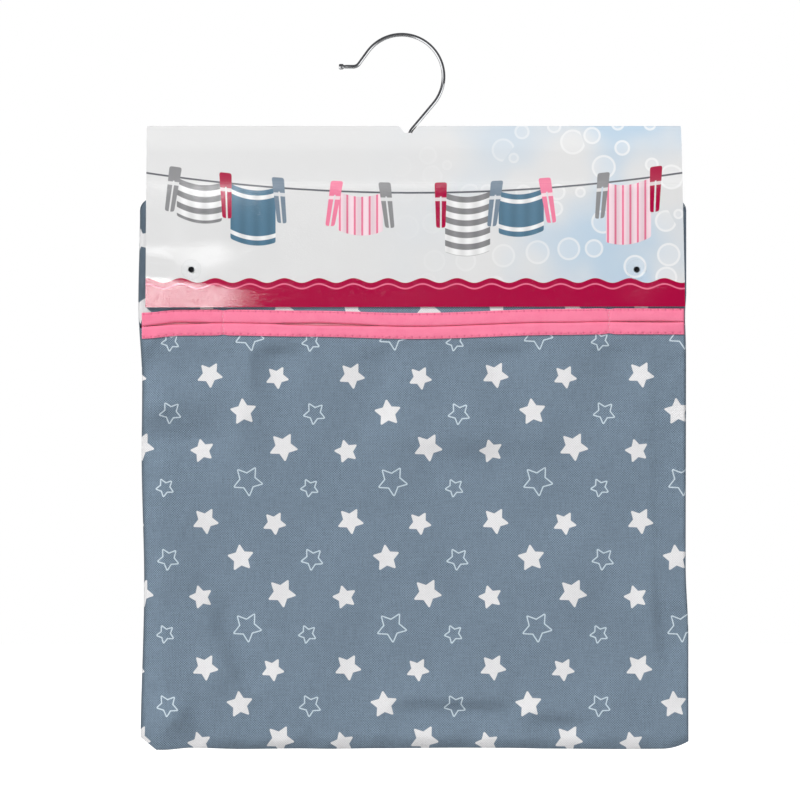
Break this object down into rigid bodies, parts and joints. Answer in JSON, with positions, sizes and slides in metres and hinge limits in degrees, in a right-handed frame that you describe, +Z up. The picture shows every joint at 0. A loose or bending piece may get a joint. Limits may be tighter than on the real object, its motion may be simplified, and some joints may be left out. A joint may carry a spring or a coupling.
{
  "type": "peg bag",
  "caption": "Flat printed-cloth peg bag on a small hanger with a swivelling wire hook, a bound slit mouth across the front, and a folded header card.",
  "frame": {"origin": "on the hook's swivel axis, at the inside of the hook, where a line or rail carries the bag", "axes": "+Z up along the stem, front towards -Y, +X to the right seen from the front"},
  "size_m": [0.3, 0.0156, 0.3937],
  "materials": {
    "chrome_wire": "bright plated wire",
    "hanger_wood": "plain sanded",
    "printed_cloth": "blue-grey cotton with a white star print",
    "pink_tape": "plain woven bias tape",
    "pink_thread": "sewing thread",
    "card_board": "gloss laminate",
    "clear_plastic": "clear moulded"
  },
  "bodies": {
    "hook": {"hook": "chrome_wire", "hook_washer": "chrome_wire"},
    "bag": {"hanger": "hanger_wood", "back_panel": "printed_cloth", "front_yoke": "printed_cloth", "front_panel": "printed_cloth", "upper_binding": "pink_tape", "lower_binding_left": "pink_tape", "lower_binding_right": "pink_tape", "upper_binding_thread": "pink_thread", "lower_binding_thread_left": "pink_thread", "lower_binding_thread_right": "pink_thread", "bar_tack_left": "pink_thread", "bar_tack_right": "pink_thread", "side_seam_left": "printed_cloth", "side_seam_right": "printed_cloth", "bottom_seam": "printed_cloth", "shoulder_seam_left": "printed_cloth", "shoulder_seam_right": "printed_cloth", "header_card": "card_board", "card_stud_left": "clear_plastic", "card_stud_right": "clear_plastic", "card_stud_cap_left": "clear_plastic", "card_stud_cap_right": "clear_plastic"},
    "mouth_flap": {"mouth_flap": "printed_cloth", "lower_binding_centre": "pink_tape", "lower_binding_thread_centre": "pink_thread"}
  },
  "joints": [
    {"name": "hook_swivel", "type": "hinge", "parent": "hook", "child": "bag", "pos_m": [0, 0, -0.07], "axis": [0, 0, 1], "continuous": true},
    {"name": "mouth_open", "type": "hinge", "parent": "bag", "child": "mouth_flap", "pos_m": [0.003, -0.0056, -0.2585], "axis": [1, 0, 0], "range_deg": [0, 18], "stiffness_Nm_per_rad": 0.03}
  ]
}
